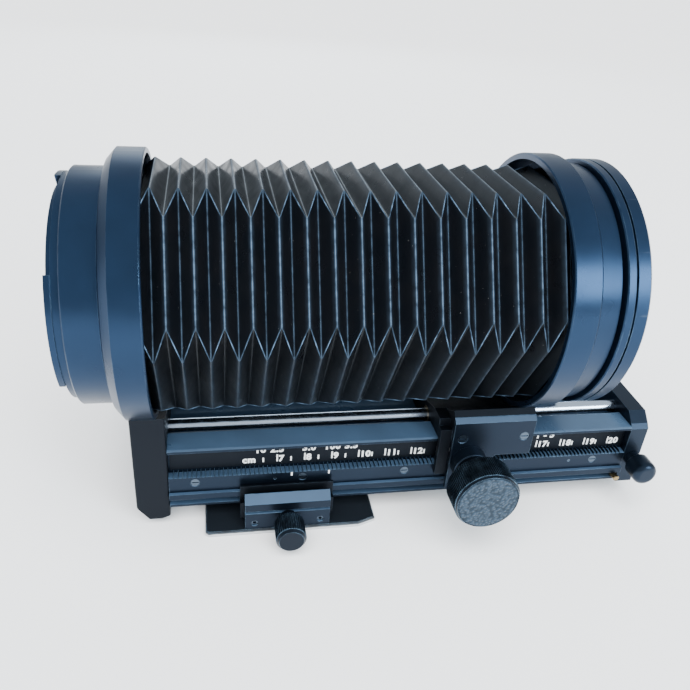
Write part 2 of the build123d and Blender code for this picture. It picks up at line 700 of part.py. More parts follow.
def knurl_outline(radius, depth, teeth):
    """Round outline cut by fine V grooves."""
    points = []
    for i in range(teeth):
        crest = 2 * math.pi * i / teeth
        valley = 2 * math.pi * (i + 0.5) / teeth
        points.append((radius * math.cos(crest), radius * math.sin(crest)))
        points.append(((radius - depth) * math.cos(valley), (radius - depth) * math.sin(valley)))
    return points


with BuildPart() as pinion:
    with BuildSketch(facing(-22.4, KNOB_STATION, KNOB_DEPTH)):
        with BuildLine():
            Polyline(*gear_outline(), close=True)
        make_face()
        Circle(SHAFT_R, mode=Mode.SUBTRACT)
    extrude(amount=2.6)
finish(pinion, "pinion")

with BuildPart() as focus_shaft:
    with BuildSketch(facing(-22.1, KNOB_STATION, KNOB_DEPTH)):
        Circle(SHAFT_R)
    extrude(amount=26.9)
    chamfer(focus_shaft.edges().filter_by(GeomType.CIRCLE), 0.2)
finish(focus_shaft, "focus_shaft")

HUB_R, HUB_BACK = 7.0, BOSS_FACE + 0.4
with BuildPart() as focus_knob:
    with BuildSketch(facing(-HUB_BACK, KNOB_STATION, KNOB_DEPTH)):
        Circle(HUB_R)
    extrude(amount=KNOB_BACK - HUB_BACK)
    with BuildSketch(facing(-KNOB_BACK, KNOB_STATION, KNOB_DEPTH)):
        with BuildLine():
            Polyline(*knurl_outline(KNOB_R, 0.3, 96), close=True)
        make_face()
    extrude(amount=KNOB_FACE - KNOB_BACK - 1.0)
    with BuildSketch(facing(-KNOB_FACE + 1.0, KNOB_STATION, KNOB_DEPTH)):
        Circle(KNOB_R - 0.35)
    extrude(amount=1.0, taper=25)
    with BuildSketch(facing(-KNOB_FACE, KNOB_STATION, KNOB_DEPTH)):
        Circle(10.6)
    extrude(amount=-0.7, mode=Mode.SUBTRACT)
    with Locations(facing(-HUB_BACK, KNOB_STATION, KNOB_DEPTH, 1)):
        Hole(SHAFT_R, depth=49.0 - HUB_BACK)
    with BuildSketch(Plane(origin=(sx(KNOB_STATION), -38.4, dz(KNOB_DEPTH)), z_dir=(0, 0, 1))):
        Circle(1.0)
    extrude(amount=HUB_R + 1, mode=Mode.SUBTRACT)
finish(focus_knob, "focus_knob")

with BuildPart() as knob_insert:
    with BuildSketch(facing(-KNOB_FACE + 0.7, KNOB_STATION, KNOB_DEPTH)):
        Circle(10.5)
    extrude(amount=0.85)
    fillet(knob_insert.faces().sort_by(Axis.Y)[0].edges(), 0.3)
finish(knob_insert, "knob_insert")

with BuildPart() as set_screw:
    with BuildSketch(Plane(origin=(sx(KNOB_STATION), -38.4, dz(KNOB_DEPTH) + SHAFT_R), z_dir=(0, 0, 1))):
        Circle(0.97)
    extrude(amount=4.4)
    with BuildSketch(Plane(origin=(sx(KNOB_STATION), -38.4, dz(KNOB_DEPTH) + SHAFT_R + 4.4), z_dir=(0, 0, 1))):
        Rectangle(2.4, 0.35)
    extrude(amount=-0.6, mode=Mode.SUBTRACT)
finish(set_screw, "set_screw")

# ======================================================================================
# Focus lock on the far side
# ======================================================================================

with BuildPart() as lock_screw:
    with BuildSketch(facing(WEB_Y + 1.75, LOCK_STATION, KNOB_DEPTH, 1)):
        Circle(SHAFT_R)
    extrude(amount=12.0)
finish(lock_screw, "lock_screw")

with BuildPart() as lock_knob:
    with BuildSketch(facing(COVER_OUT + 0.4, LOCK_STATION, KNOB_DEPTH, 1)):
        Circle(4.6)
    extrude(amount=1.6)
    with BuildSketch(facing(COVER_OUT + 2.0, LOCK_STATION, KNOB_DEPTH, 1)):
        with BuildLine():
            Polyline(*knurl_outline(LOCK_R, 0.3, 48), close=True)
        make_face()
    extrude(amount=7.0)
    with BuildSketch(facing(COVER_OUT + 9.0, LOCK_STATION, KNOB_DEPTH, 1)):
        Circle(LOCK_R - 0.3)
    extrude(amount=0.8, taper=40)
    with Locations(facing(COVER_OUT + 0.4, LOCK_STATION, KNOB_DEPTH, -1)):
        Hole(SHAFT_R, depth=WEB_Y + 13.75 - COVER_OUT - 0.4)
finish(lock_knob, "lock_knob")

# ======================================================================================
# Tripod carriage
# ======================================================================================

BLOCK_BOTTOM = AXIS_HEIGHT - FOOT_PLATE_T
BASE_TOP = RAIL_BOTTOM + 0.4
SLOT_Y = FLANGE_Y + GAP
half_block = [
    (0, -BLOCK_BOTTOM),
    (BLOCK_Y, -BLOCK_BOTTOM),
    (BLOCK_Y, -JAW_FRONT_TOP),
    (JAW_Y, -JAW_TOP),
    (JAW_Y, -79.2),
    (SLOT_Y - 0.2, -79.2),
    (SLOT_Y - 0.2, -BASE_TOP),
    (0, -BASE_TOP),
]
with BuildPart() as tripod_block:
    with BuildSketch(across(BLOCK_START)):
        with BuildLine():
            Polyline(*half_block, close=True)
        make_face()
        mirror(about=Plane.YZ)
    extrude(amount=BLOCK_END - BLOCK_START)
    for turn in (-1, 1):
        with BuildSketch(facing(turn * BLOCK_Y, (BLOCK_START + BLOCK_END) / 2, 73.9, turn)):
            Rectangle(BLOCK_END - BLOCK_START, 1.1)
        extrude(amount=-1.1, mode=Mode.SUBTRACT)
    with Locations(Plane(origin=(0, 0, dz(BLOCK_BOTTOM)), z_dir=(0, 0, -1))):
        Hole(5.0, depth=SOCKET_LENGTH - FOOT_PLATE_T)
    with Locations(facing(-BLOCK_Y, SOCKET_STATION, CLAMP_DEPTH)):
        Hole(1.75, depth=6)
    for station in (61.4, 85.2):
        with Locations(facing(-BLOCK_Y, station, 78.9)):
            Hole(1.25, depth=3)
    for x in (-11.0, 11.0):
        for y in (-22.0, 22.0):
            with Locations(Plane(origin=(x, y, dz(BLOCK_BOTTOM)), z_dir=(0, 0, -1))):
                Hole(1.02, depth=3.0)
finish(tripod_block, "tripod_block")

with BuildPart() as block_screws:
    for station in (61.4, 85.2):
        with BuildSketch(facing(-BLOCK_Y + 0.5, station, 78.9)):
            Circle(1.22)
        extrude(amount=-2.3)
        with BuildSketch(facing(-BLOCK_Y + 0.5, station, 78.9)):
            RegularPolygon(0.7, 6)
        extrude(amount=-0.9, mode=Mode.SUBTRACT)
finish(block_screws, "block_screws")

for name, turn in (("clamp_gib", -1), ("fixed_gib", 1)):
    with BuildPart() as gib:
        with BuildSketch(across(BLOCK_START - 1.5)):
            with BuildLine():
                Polyline(
                    (turn * (SLOT_Y), -66.2),
                    (turn * GIB_OUT, -66.2),
                    (turn * GIB_OUT, -(COVER_BOTTOM + 0.5)),
                    (turn * (JAW_Y - 0.1), -(COVER_BOTTOM + 0.5)),
                    (turn * (JAW_Y - 0.1), -79.0),
                    (turn * (SLOT_Y), -79.0),
                    (turn * (SLOT_Y), -(GROOVE_BOTTOM - 0.3)),
                    (turn * (GROOVE_Y + 0.5), -(GROOVE_BOTTOM - 0.3)),
                    (turn * (GROOVE_Y + 0.5), -(FLANGE_BOTTOM + 0.4)),
                    (turn * (SLOT_Y), -(FLANGE_BOTTOM + 0.4)),
                    close=True,
                )
            make_face()
        extrude(amount=BLOCK_END - BLOCK_START + 3.0)
    finish(gib, name)

with BuildPart() as foot_plate:
    with BuildSketch(Plane.XY):
        with BuildLine():
            Polyline(
                (sx(FOOT_PLATE_START), -FOOT_PLATE_Y + 1.0),
                (sx(FOOT_PLATE_START + 1.0), -FOOT_PLATE_Y),
                (sx(FOOT_PLATE_END - 6.5), -FOOT_PLATE_Y),
                (sx(FOOT_PLATE_END), -FOOT_PLATE_Y + 2.4),
                (sx(FOOT_PLATE_END), FOOT_PLATE_Y - 2.4),
                (sx(FOOT_PLATE_END - 6.5), FOOT_PLATE_Y),
                (sx(FOOT_PLATE_START + 1.0), FOOT_PLATE_Y),
                (sx(FOOT_PLATE_START), FOOT_PLATE_Y - 1.0),
                close=True,
            )
        make_face()
    extrude(amount=FOOT_PLATE_T)
    chamfer(foot_plate.faces().sort_by(Axis.Z)[-1].edges(), 0.4)
    with Locations(Plane(origin=(0, 0, 0), z_dir=(0, 0, -1))):
        Hole(5.0, depth=FOOT_PLATE_T)
    for x in (-11.0, 11.0):
        for y in (-22.0, 22.0):
            with Locations(Plane(origin=(x, y, 0), z_dir=(0, 0, -1))):
                CounterSinkHole(1.1, 2.1, depth=FOOT_PLATE_T, counter_sink_angle=90)
finish(foot_plate, "foot_plate")

with BuildPart() as foot_screws:
    for x in (-11.0, 11.0):
        for y in (-22.0, 22.0):
            for height, radius, length, taper in ((0.2, 1.85, 0.9, 45), (1.0, 1.0, 3.4, 0)):
                with BuildSketch(Plane(origin=(x, y, height), z_dir=(0, 0, -1))):
                    Circle(radius)
                extrude(amount=-length, taper=taper)
finish(foot_screws, "foot_plate_screws")

with BuildPart() as tripod_bush:
    with BuildSketch(Plane.XY):
        Circle(5.0)
        Circle(SOCKET_R, mode=Mode.SUBTRACT)
    extrude(amount=SOCKET_LENGTH)
finish(tripod_bush, "tripod_bush")

with BuildPart() as clamp_screw:
    with BuildSketch(facing(-JAW_Y - 0.05, SOCKET_STATION, CLAMP_DEPTH)):
        Circle(1.72)
    extrude(amount=12.0)
finish(clamp_screw, "clamp_screw")

CLAMP_BACK, CLAMP_FACE = 37.0, 45.8
with BuildPart() as clamp_knob:
    with BuildSketch(facing(-BLOCK_Y - 0.4, SOCKET_STATION, CLAMP_DEPTH)):
        Circle(3.2)
    extrude(amount=CLAMP_BACK - BLOCK_Y - 0.4)
    with BuildSketch(facing(-CLAMP_BACK, SOCKET_STATION, CLAMP_DEPTH)):
        with BuildLine():
            Polyline(*knurl_outline(CLAMP_R, 0.3, 40), close=True)
        make_face()
    extrude(amount=CLAMP_FACE - CLAMP_BACK - 1.1)
    with BuildSketch(facing(-CLAMP_FACE + 1.1, SOCKET_STATION, CLAMP_DEPTH)):
        Circle(CLAMP_R - 0.3)
    extrude(amount=1.1, taper=35)
    with Locations(facing(-BLOCK_Y - 0.4, SOCKET_STATION, CLAMP_DEPTH, 1)):
        Hole(1.72, depth=JAW_Y + 12.05 - BLOCK_Y - 0.4)
finish(clamp_knob, "clamp_knob")

# ======================================================================================
# Small knob on the end plate
# ======================================================================================

END_KNOB_BACK, END_KNOB_FACE = 28.6, 36.4
with BuildPart() as end_knob:
    with BuildSketch(facing(-END_KNOB_BACK, END_KNOB_STATION, END_KNOB_DEPTH)):
        Circle(END_KNOB_R)
    extrude(amount=END_KNOB_FACE - END_KNOB_BACK)
    fillet(end_knob.faces().sort_by(Axis.Y)[0].edges(), 2.2)
    fillet(end_knob.faces().sort_by(Axis.Y)[-1].edges(), 0.5)
    with BuildSketch(facing(-PLATE_Y - 0.4, END_KNOB_STATION, END_KNOB_DEPTH)):
        Circle(3.2)
    extrude(amount=END_KNOB_BACK - PLATE_Y - 0.4)
    with BuildSketch(facing(-PLATE_Y + 8.0, END_KNOB_STATION, END_KNOB_DEPTH)):
        Circle(1.72)
    extrude(amount=8.4)
finish(end_knob, "end_knob")
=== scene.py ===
"""Looks of the macro bellows unit: materials, folded bellows, scale figures, lights, camera."""

import math
import random

import bpy
from mathutils import Matrix, Vector


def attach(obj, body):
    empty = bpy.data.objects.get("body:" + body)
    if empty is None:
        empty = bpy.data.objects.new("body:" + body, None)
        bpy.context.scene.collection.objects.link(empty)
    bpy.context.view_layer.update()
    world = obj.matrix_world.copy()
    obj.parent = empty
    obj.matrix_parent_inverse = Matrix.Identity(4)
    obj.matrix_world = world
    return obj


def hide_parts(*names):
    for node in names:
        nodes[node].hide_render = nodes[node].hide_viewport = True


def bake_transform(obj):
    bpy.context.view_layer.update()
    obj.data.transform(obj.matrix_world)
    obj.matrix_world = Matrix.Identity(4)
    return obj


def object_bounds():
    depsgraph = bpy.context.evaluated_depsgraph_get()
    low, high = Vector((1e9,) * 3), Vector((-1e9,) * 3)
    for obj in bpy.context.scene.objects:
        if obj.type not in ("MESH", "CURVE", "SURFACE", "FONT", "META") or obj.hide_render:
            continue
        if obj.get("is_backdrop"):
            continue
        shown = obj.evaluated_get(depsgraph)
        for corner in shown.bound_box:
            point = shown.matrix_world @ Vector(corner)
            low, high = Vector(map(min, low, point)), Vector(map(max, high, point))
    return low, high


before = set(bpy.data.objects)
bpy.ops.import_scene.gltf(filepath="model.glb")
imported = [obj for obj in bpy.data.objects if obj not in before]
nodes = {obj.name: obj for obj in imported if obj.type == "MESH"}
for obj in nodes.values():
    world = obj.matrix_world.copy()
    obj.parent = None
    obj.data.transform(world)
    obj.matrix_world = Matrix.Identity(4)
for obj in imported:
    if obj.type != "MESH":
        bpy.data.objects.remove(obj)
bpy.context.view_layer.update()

# ---- the frame's own numbers, in metres -----------------------------------------------
MM = 0.001
AXIS_Z = 83.4 * MM  # optical axis above the foot
ZERO_X = -73.3 * MM  # where the centimetre scale reads nought
SIDES = 6


def station(reading):
    """X of a scale reading in millimetres."""
    return ZERO_X + reading * MM


# ======================================================================================
# Materials
# ======================================================================================


class Paint:
    """One node material on a Principled shader, with short calls for its parts."""

    def __init__(self, name, colour, roughness, metallic=0.0, **sockets):
        self.material = bpy.data.materials.new(name)
        self.material.use_nodes = True
        self.tree = self.material.node_tree
        self.shader = self.tree.nodes["Principled BSDF"]
        self.shader.inputs["Base Color"].default_value = (*colour, 1)
        self.shader.inputs["Roughness"].default_value = roughness
        self.shader.inputs["Metallic"].default_value = metallic
        for socket, value in sockets.items():
            self.shader.inputs[socket.replace("_", " ")].default_value = value
        self.colour = tuple(colour)
        self.colour_out = None
        self.bump_out = None
        self.place = self.node("TexCoord").outputs["Object"]

    def node(self, kind, inputs=None, **settings):
        made = self.tree.nodes.new("ShaderNode" + kind)
        for key, value in settings.items():
            setattr(made, key, value)
        for key, value in (inputs or {}).items():
            if isinstance(value, bpy.types.NodeSocket):
                self.tree.links.new(value, made.inputs[key])
            else:
                made.inputs[key].default_value = value
        return made

    def noise(self, scale, detail=3.0, stretch=(1, 1, 1)):
        """Grey noise, its features about 1/scale metres wide, drawn out along an axis."""
        mapping = self.node("Mapping", {"Vector": self.place, "Scale": stretch})
        return self.node(
            "TexNoise", {"Vector": mapping.outputs[0], "Scale": scale, "Detail": detail}
        ).outputs["Fac"]

    def band(self, value, low, high, out_low=0.0, out_high=1.0):
        """Stretches the range low to high onto out_low to out_high."""
        return self.node(
            "MapRange",
            {"Value": value, "From Min": low, "From Max": high, "To Min": out_low, "To Max": out_high},
        ).outputs[0]

    def tint(self, factor, colour):
        """Mixes another colour in where factor is high."""
        mix = self.node("MixRGB", {"Fac": factor, "Color2": (*colour, 1)})
        if self.colour_out is None:
            mix.inputs["Color1"].default_value = (*self.colour, 1)
        else:
            self.tree.links.new(self.colour_out, mix.inputs["Color1"])
        self.colour_out = mix.outputs[0]
        self.tree.links.new(self.colour_out, self.shader.inputs["Base Color"])

    def rough(self, value, low, high):
        """Lets a grey value vary the roughness."""
        spread = self.band(value, 0.3, 0.7, low, high)
        self.tree.links.new(spread, self.shader.inputs["Roughness"])

    def bump(self, value, strength, depth_mm):
        """Adds relief on top of what is there."""
        made = self.node(
            "Bump", {"Height": value, "Strength": strength, "Distance": depth_mm * MM}
        )
        if self.bump_out is not None:
            self.tree.links.new(self.bump_out, made.inputs["Normal"])
        self.bump_out = made.outputs[0]
        self.tree.links.new(self.bump_out, self.shader.inputs["Normal"])

    def edges(self, radius_mm, colour, amount):
        """Rounds the look of sharp edges and lightens them, partly as handling wear does and partly as a
        painted edge highlight.
        """
        soft = self.node("Bevel", {"Radius": radius_mm * MM}, samples=4)
        flat = self.node("NewGeometry").outputs["Normal"]
        turn = self.node("VectorMath", {0: soft.outputs[0], 1: flat}, operation="DOT_PRODUCT")
        worn = self.band(turn.outputs["Value"], 0.985, 0.86, 0.0, amount)
        patchy_wear_and_edge_highlight = self.node(
            "Math", {0: worn, 1: self.band(self.noise(260), 0.35, 0.6)}, operation="MULTIPLY"
        )
        # painted highlight mixed with wear: sharp edges are lightened blue-grey as if catching light
        self.tint(patchy_wear_and_edge_highlight.outputs[0], colour)
        self.bump_out = soft.outputs[0]
        self.tree.links.new(self.bump_out, self.shader.inputs["Normal"])

    def scratches(self, amount, colour):
        """Sparse fine marks."""
        fine = self.band(self.noise(900, 2, (0.06, 1, 0.5)), 0.68, 0.74, 0, amount)
        self.tint(fine, colour)


def anodised(name, colour=(0.012, 0.02, 0.034), rough=(0.3, 0.42), edge_wear_and_highlight=0.45, grain=0.12,
             painted_top_sheen=0.0):
    """Satin black anodised aluminium, bead blasted, its edges paler partly from handling wear and partly as
    a painted edge highlight; faces turned up can take a painted lighter sheen.
    """
    paint = Paint(name, colour, rough[0], metallic=0.85)
    if painted_top_sheen:  # painted sheen: faces turned to the sky are painted a lighter blue and made less metallic, as if lit from above
        normal = paint.node("NewGeometry").outputs["Normal"]
        upward = paint.node("SeparateXYZ", {"Vector": normal}).outputs["Z"]
        painted_top_light = paint.band(upward, 0.45, 0.8, 0, painted_top_sheen)
        paint.tint(painted_top_light, (0.045, 0.085, 0.145))
        paint.tree.links.new(paint.band(painted_top_light, 0, 1, 0.85, 0.2), paint.shader.inputs["Metallic"])
    paint.edges(0.26, (0.2, 0.33, 0.46), edge_wear_and_highlight)
    cloud = paint.noise(55, 4)
    paint.tint(paint.band(cloud, 0.35, 0.75, 0, 0.4), tuple(1.5 * c for c in colour))
    paint.rough(cloud, *rough)
    paint.bump(paint.noise(5200, 2), grain, 0.02)
    return paint


def turned(name, edge_wear_and_highlight=0.35, scratched=0.0):
    """The same finish on a turned ring: fine tool lines run round it."""
    paint = anodised(name, (0.0125, 0.029, 0.062), (0.26, 0.36), edge_wear_and_highlight, 0.06)
    lines = paint.noise(2600, 1, (1, 0.02, 0.02))
    paint.bump(lines, 0.1, 0.01)
    if scratched:
        paint.scratches(scratched, (0.2, 0.24, 0.3))
    return paint


def ground_steel(name, colour, rough, turned_round_axis=False):
    """Bright metal with faint streaks, drawn along X or turned round the optical axis."""
    paint = Paint(name, colour, rough, 1.0)
    if turned_round_axis:
        off_axis = paint.node(
            "Mapping", {"Vector": paint.place, "Location": (0, 0, -AXIS_Z), "Scale": (0, 1, 1)}
        ).outputs[0]
        radius = paint.node("VectorMath", {0: off_axis}, operation="LENGTH").outputs["Value"]
        streak = paint.node("TexNoise", {"W": radius, "Scale": 2200, "Detail": 2}, noise_dimensions="1D")
        streak = streak.outputs["Fac"]
    else:
        streak = paint.noise(1500, 3, (0.03, 1, 1))
    paint.tint(paint.band(streak, 0.35, 0.7, 0, 0.35), tuple(0.72 * c for c in colour))
    paint.rough(streak, rough * 0.8, rough * 1.35)
    paint.bump(streak, 0.06, 0.01)
    return paint


def coated_cloth(name):
    """Bellows skin: black coated cloth, glossy, its folds lightened to a blue-grey line, partly rubbed wear
    and partly painted highlight.
    """
    paint = Paint(name, (0.0025, 0.003, 0.0042), 0.3, Specular_IOR_Level=0.22,
                  Specular_Tint=(0.6, 0.8, 1.0, 1))
    fold = paint.node("Attribute", attribute_name="fold").outputs["Fac"]
    broken = paint.band(paint.noise(420, 3), 0.3, 0.62, 0.25, 1.0)
    rubbed = paint.node("Math", {0: fold, 1: broken}, operation="MULTIPLY").outputs[0]
    paint.tint(paint.band(paint.noise(90, 3), 0.4, 0.75, 0, 0.5), (0.006, 0.0055, 0.006))
    # painted highlight with some wear: the fold lines are tinted blue-grey, strongest on the upper sides
    paint.tint(rubbed, (0.16, 0.26, 0.4))
    specks = paint.band(paint.noise(1500, 2), 0.765, 0.79, 0, 0.6)
    paint.tint(specks, (0.3, 0.3, 0.3))
    height = paint.node("SeparateXYZ", {"Vector": paint.place}).outputs["Z"]
    low = paint.band(height, AXIS_Z - 8 * MM, AXIS_Z - 24 * MM, 0, 0.3)
    uneven = paint.band(paint.noise(150, 4), 0.3, 0.7, 0.26, 0.4)
    dull = paint.node("Math", {0: uneven, 1: low}, operation="ADD").outputs[0]
    paint.tree.links.new(dull, paint.shader.inputs["Roughness"])
    paint.bump(paint.noise(110, 1), 0.08, 0.25)
    paint.bump(paint.noise(2600, 3), 0.14, 0.03)
    return paint


def pebbled(name):
    """Leatherette disc: small raised pebbles with worn tops."""
    paint = Paint(name, (0.006, 0.01, 0.016), 0.42, Specular_Tint=(0.5, 0.75, 1.0, 1))
    cell = paint.node(
        "TexVoronoi", {"Vector": paint.place, "Scale": 1150}, feature="SMOOTH_F1"
    ).outputs["Distance"]
    paint.tint(paint.band(cell, 0.6, 0.25, 0, 0.8), (0.024, 0.04, 0.064))
    paint.bump(paint.band(cell, 0.65, 0.15), 0.9, 0.2)
    paint.rough(cell, 0.36, 0.6)
    return paint


def worn_to_metal(paint, height_mm):
    """The finish is rubbed off below a height above the foot, down to bright metal."""
    height = paint.node("SeparateXYZ", {"Vector": paint.place}).outputs["Z"]
    ragged = paint.node(
        "Math", {0: height, 1: paint.band(paint.noise(300, 3), 0, 1, -0.25 * MM, 0.25 * MM)}, operation="ADD"
    ).outputs[0]
    bare = paint.band(ragged, height_mm * MM, (height_mm - 0.15) * MM)
    paint.tint(bare, (0.62, 0.64, 0.66))
    paint.tree.links.new(bare, paint.shader.inputs["Metallic"])
    return paint


def white_paint(name):
    """Screened white figures, a little thin and yellowed in places."""
    paint = Paint(name, (0.78, 0.8, 0.8), 0.5)
    paint.tint(paint.band(paint.noise(1600, 3), 0.42, 0.75, 0, 0.5), (0.45, 0.45, 0.42))
    paint.bump(paint.noise(4000, 2), 0.1, 0.02)
    return paint


BLACK = anodised("black_anodised")
RING = turned("black_turned")
WORN_RING = turned("black_turned_worn", edge_wear_and_highlight=0.8, scratched=0.12)
RAIL = anodised("black_rail", (0.01, 0.017, 0.03), (0.26, 0.36), 0.5, 0.06, painted_top_sheen=1.0)
SLOPED = anodised("black_cover", (0.0095, 0.016, 0.028), edge_wear_and_highlight=0.7, painted_top_sheen=1.0)
FOOT = worn_to_metal(anodised("black_foot", (0.006, 0.008, 0.011), edge_wear_and_highlight=0.8), 1.1)
DARK = anodised("black_matt", (0.007, 0.0095, 0.014), (0.45, 0.6), 0.2)
KNOB = anodised("black_knob", (0.007, 0.011, 0.018), (0.3, 0.42), 0.9)
ROD = ground_steel("ground_rod", (0.62, 0.7, 0.82), 0.22)
SCREW = ground_steel("black_screw", (0.09, 0.12, 0.16), 0.34)
CHROME = ground_steel("ground_chrome", (0.8, 0.83, 0.87), 0.14)
BRIGHT = ground_steel("bright_metal", (0.5, 0.5, 0.51), 0.3, turned_round_axis=True)
BRASS = ground_steel("brass", (0.34, 0.25, 0.13), 0.38)
CLOTH = coated_cloth("bellows_cloth")
PEBBLE = pebbled("pebble_leatherette")
WHITE = white_paint("white_figures")

FINISHES = [
    (RAIL, "rail_profile rack"),
    (ROD, "guide_rod_front guide_rod_rear"),
    (CHROME, "clamp_screw lock_screw focus_shaft"),
    (SCREW, "rack_screws rack_pins rear_foot_screws end_plate_screws cover_screws barrel_screws block_screws"
            " foot_plate_screws set_screw"),
    (BRASS, "stop_pin rod_bushings brake_shoe pinion tripod_bush"),
    (BLACK, "end_plate shaft_bearing end_knob"),
    (SLOPED, "front_cover far_cover tripod_block"),
    (KNOB, "focus_knob lock_knob clamp_knob"),
    (FOOT, "foot_plate"),
    (RING, "rear_ring front_barrel camera_bayonet"),
    (WORN_RING, "lens_ring"),
    (BRIGHT, "lens_mount lens_mount_screws bayonet_screws"),
    # painted shade: carriage_saddle and clamp_gib take this darker matt black partly because they sit in
    # shade
    (DARK, "carriage_saddle rear_foot scale_strip clamp_gib fixed_gib rear_bellows_frame"
           " front_bellows_frame"),
    (PEBBLE, "knob_insert"),
]
for paint, names in FINISHES:
    for name in names.split():
        nodes[name].data.materials.clear()
        nodes[name].data.materials.append(paint.material)


def new_piece(name, verts, faces, paint, slot):
    """A mesh object made from points and faces, in metres."""
    mesh = bpy.data.meshes.new(name)
    mesh.from_pydata(verts, [], faces)
    mesh.materials.append(paint.material)
    made = bpy.data.objects.new(name, mesh)
    bpy.context.scene.collection.objects.link(made)
    return made


# ======================================================================================
# Bellows: sixteen pleats of a six-sided tube
# ======================================================================================
# Alternate sides fold outward at one plane and inward at the next, half a pleat on. Each
# side is a row of points, so that its panels can bow and its folds can be rounded.

PLEAT = 8.19 * MM
FIRST_RIDGE = station(27.11)
TUBE_START, TUBE_END = station(24.6), station(164.9)
FOLD_OUT, FOLD_IN = 39.1 * MM, 33.1 * MM
FOLD_SOFT = 0.055  # share of a half pleat over which a fold is rounded
STEPS_ALONG = (0.0, 0.03, 0.07, 0.13, 0.3, 0.5, 0.7, 0.87, 0.93, 0.97)
STEPS_ACROSS = 12
SKIN = 0.9 * MM


def swing(turns):
    """0 at whole turns and 1 at half turns, straight between, with rounded folds."""
    saw = abs((turns + 0.5) % 1.0 - 0.5) * 2
    for fold, sign in ((0.0, 1), (1.0, -1)):
        away = abs(saw - fold)
        if away < FOLD_SOFT * 2:
            saw = fold + sign * (away * away / (4 * FOLD_SOFT) + FOLD_SOFT)
    return saw


def corners(even, odd):
    """Corners (y, z) of a hexagon whose sides lie alternately even and odd from the axis."""
    found = []
    for side in range(SIDES):
        first, second = (even, odd) if side % 2 == 0 else (odd, even)
        turn = math.radians(90 + 60 * side)
        along = (second - first * 0.5) / math.sin(math.radians(60))
        found.append(
            Vector((
                first * math.cos(turn) - along * math.sin(turn),
                first * math.sin(turn) + along * math.cos(turn),
            ))
        )
    return found


# how strongly a fold is lightened, as (crisp line, broad band), for its outer and its inner folds: partly
# wear, mostly painted highlight, strong on the upper sides and faint on the shaded sides below
SKYWARD, FACING, UNDER = ((0.4, 0.1), (0.1, 0)), ((1.3, 0.13), (0.6, 0.02)), ((0.05, 0.1), (0, 0))
FOLD_SHEEN_AND_WEAR = (SKYWARD, FACING, UNDER, UNDER, UNDER, FACING)

chance = random.Random(5)
PUFF = {(side, half): chance.uniform(0.5, 1.3) for side in range(SIDES) for half in range(60)}


def ring_of(x, inset):
    """(point, fold lightening as wear and painted highlight) round the tube at x, inset by the skin on its
    inner face.
    """
    turns = (x - FIRST_RIDGE) / PLEAT
    lean = swing(turns)
    fade = min(1.0, (x - TUBE_START) / (2 * MM), (TUBE_END - x) / (2 * MM))
    fade = max(0.0, fade)
    deep = FOLD_OUT - FOLD_IN
    side_far = FOLD_OUT - deep * lean
    top_far = FOLD_IN + deep * lean
    shape = corners(top_far - inset, side_far - inset)
    middle = 1 - abs(2 * lean - 1)  # 1 halfway between two folds
    half = int(math.floor(turns * 2)) + 4
    sharp = min(1.0, max(0.0, 1.25 * (1 - (1 - abs(2 * lean - 1)) / 0.145)))
    wide = max(0.0, 1 - middle / 0.45) ** 1.5
    points = []
    for side in range(SIDES):
        start, end = shape[side - 1], shape[side]
        turn = math.radians(90 + 60 * side)
        outward = Vector((math.cos(turn), math.sin(turn)))
        outer_here = (lean > 0.5) == (side % 2 == 0)
        for step in range(STEPS_ACROSS):
            # the points crowd toward the corners, where the panels are creased
            share = 0.5 - 0.5 * math.cos(math.pi * step / STEPS_ACROSS)
            bow = math.sin(math.pi * share) ** 0.7
            sag = (-0.12 + 0.22 * (side % 2)) * middle * bow * PUFF[side, half % 60] * MM
            wander = 0.08 * math.sin(9.0 * share + 2.1 * side + 1.7 * half) * middle * bow * MM
            place = start.lerp(end, share) + outward * (sag + wander)
            corner = max(0.0, 1 - min(share, 1 - share) / 0.012)
            crisp, broad = FOLD_SHEEN_AND_WEAR[side][0 if outer_here else 1]
            # painted highlight with some wear: crisp and broad fold lines and the corner lines, weighted by
            # how each side faces the light
            fold_sheen_and_wear = max(sharp * crisp, wide * broad, 1.3 * corner * middle)
            points.append(((x, place.x, AXIS_Z + place.y), fold_sheen_and_wear * fade))
    return points


def places_along(start, end):
    """Every plane between two places where the tube's shape needs points."""
    found = [start, end]
    first = math.floor((start - FIRST_RIDGE) / PLEAT * 2) - 1
    for half in range(first, first + int((end - start) / PLEAT * 2) + 4):
        for step in STEPS_ALONG:
            x = FIRST_RIDGE + (half + step) * PLEAT / 2
            if start + 0.02 * MM < x < end - 0.02 * MM:
                found.append(x)
    return sorted(found)


def bellows_piece(name, start, end):
    """One length of the folded tube, with an outer and an inner skin."""
    verts, marks, faces = [], [], []
    round_count = SIDES * STEPS_ACROSS
    for inset in (0.0, SKIN):
        base = len(verts)
        planes = places_along(start, end)
        for x in planes:
            for place, fold_sheen_and_wear in ring_of(x, inset):
                verts.append(place)
                marks.append(fold_sheen_and_wear * (0.12 if inset else 1.0))
        for row in range(len(planes) - 1):
            for i in range(round_count):
                a = base + row * round_count + i
                b = base + row * round_count + (i + 1) % round_count
                face = (a, b, b + round_count, a + round_count)
                faces.append(face if inset else face[::-1])
    made = new_piece(name, verts, faces, CLOTH, "bellows")
    attribute = made.data.attributes.new("fold", "FLOAT", "POINT")
    attribute.data.foreach_set("value", marks)
    for polygon in made.data.polygons:
        polygon.use_smooth = True
    made.data.set_sharp_from_angle(angle=math.radians(32))
    return made


